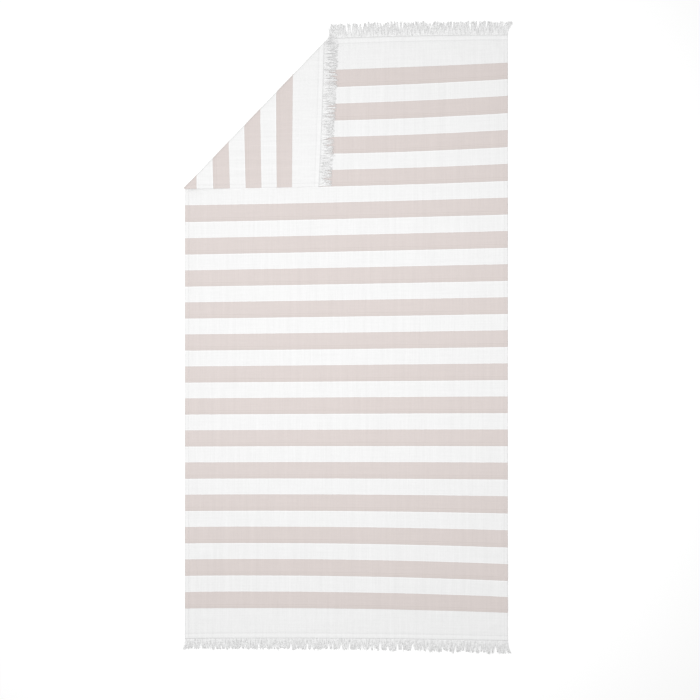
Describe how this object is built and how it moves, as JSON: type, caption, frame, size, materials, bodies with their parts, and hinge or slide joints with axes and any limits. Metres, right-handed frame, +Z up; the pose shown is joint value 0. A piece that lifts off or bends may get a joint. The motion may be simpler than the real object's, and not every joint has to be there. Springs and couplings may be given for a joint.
{
  "type": "beach towel",
  "caption": "Fringed striped beach towel, lying flat and face up with one corner folded over to show the reverse.",
  "frame": {"origin": "middle of the towel's outline, on the surface it lies on", "axes": "+Z up off the surface, +Y along the towel towards the end with the folded corner, +X across it towards the straight side"},
  "size_m": [0.9169, 1.7629, 0.012],
  "materials": {
    "woven_cotton": "flat woven cotton in taupe and white stripes, matt with a fine lengthwise rib",
    "cotton_yarn": "loose white cotton warp ends, matt"
  },
  "bodies": {
    "root": {"cloth": "woven_cotton", "fringe_top": "cotton_yarn", "fringe_bottom": "cotton_yarn"}
  },
  "joints": []
}
